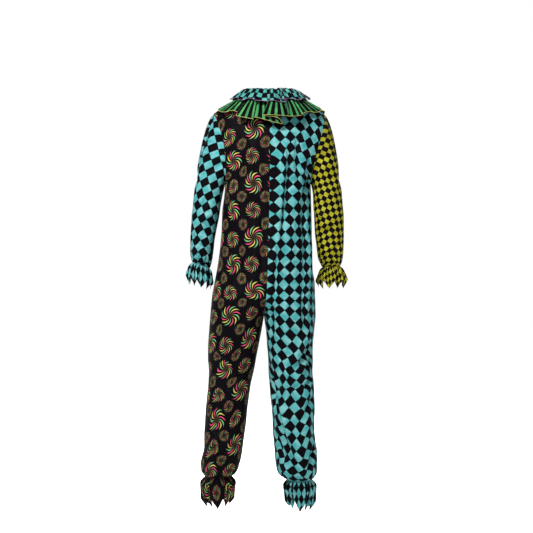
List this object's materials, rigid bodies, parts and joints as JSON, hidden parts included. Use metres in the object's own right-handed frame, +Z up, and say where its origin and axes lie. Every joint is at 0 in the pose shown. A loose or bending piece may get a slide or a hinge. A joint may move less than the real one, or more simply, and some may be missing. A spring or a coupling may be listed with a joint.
{
  "type": "clown costume",
  "caption": "Worn one-piece clown jumpsuit with a double frilled collar, long sleeves and pointed frills below elastic wrists and ankles, closed by a front zip.",
  "frame": {"origin": "midway between the shoulders at the base of the neck, where the wearer carries the suit", "axes": "+Z up along the body, +Y out of the back, +X towards the wearer's left"},
  "size_m": [0.6209, 0.3546, 1.5903],
  "materials": {
    "pinwheel_print": "smooth polyester knit, black with printed pinwheels",
    "teal_diamond": "smooth polyester knit, teal and black diamonds",
    "yellow_diamond": "smooth polyester knit, yellow and black diamonds",
    "teal_check": "smooth polyester, teal and black check",
    "green_stripe": "smooth polyester, green and black stripes",
    "zip_black": "matt",
    "metal": "satin nickel"
  },
  "bodies": {
    "suit": {"front_left": "pinwheel_print", "front_right": "teal_diamond", "back_left": "pinwheel_print", "back_right": "teal_diamond", "sleeve_left": "teal_diamond", "sleeve_right": "yellow_diamond", "cuff_frill_left": "teal_diamond", "cuff_frill_right": "yellow_diamond", "ankle_frill_left": "pinwheel_print", "ankle_frill_right": "teal_diamond", "collar_lower_tier": "green_stripe", "collar_upper_tier": "teal_check", "zip_chain": "zip_black", "zip_slider": "metal"},
    "pull": {"zip_pull": "metal"}
  },
  "joints": [
    {"name": "pull_swing", "type": "hinge", "parent": "suit", "child": "pull", "pos_m": [0.001, -0.09787, -0.04676], "axis": [1, 0, 0], "range_deg": [-120, 0]}
  ]
}
